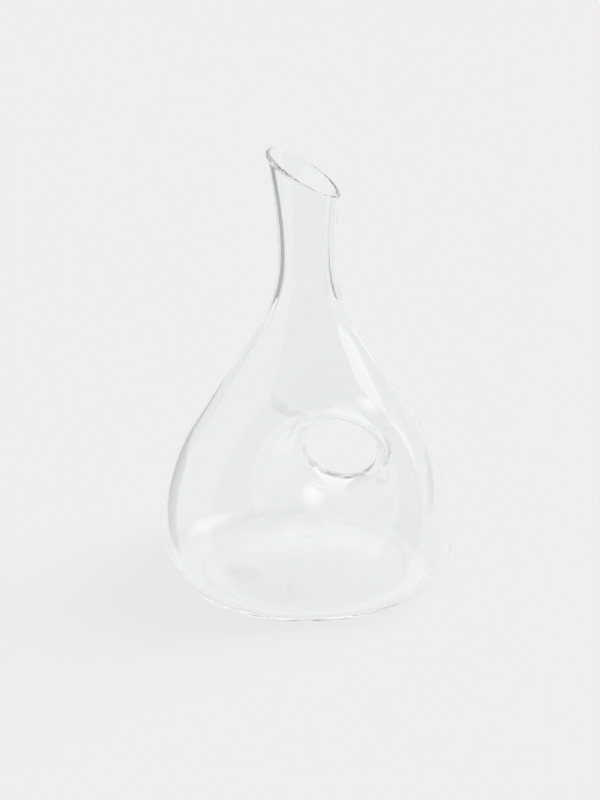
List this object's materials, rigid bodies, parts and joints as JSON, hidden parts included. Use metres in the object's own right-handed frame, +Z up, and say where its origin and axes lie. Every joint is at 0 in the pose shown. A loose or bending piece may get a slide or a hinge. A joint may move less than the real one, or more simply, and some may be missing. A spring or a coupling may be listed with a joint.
{
  "type": "wine decanter",
  "caption": "Clear blown-glass wine decanter: wide round belly, slim flared neck with a slanted pouring mouth, and a finger hole through the body.",
  "frame": {"origin": "centre of the resting ring, on the surface that the decanter stands on", "axes": "+Z up along the neck; the tip of the pouring mouth points to -X; the grip hole runs along Y, turned 6 degrees, on the +X side"},
  "size_m": [0.18, 0.1783, 0.2765],
  "materials": {
    "clear_glass": "polished clear blown glass",
    "polished_rim": "fire-polished clear glass rim",
    "grip_glass": "polished clear blown glass, drawn thinner"
  },
  "bodies": {
    "root": {"base": "clear_glass", "left_belly": "clear_glass", "right_belly": "clear_glass", "shoulder": "clear_glass", "neck": "clear_glass", "pouring_rim": "polished_rim", "front_grip_funnel": "grip_glass", "rear_grip_funnel": "grip_glass"}
  },
  "joints": []
}
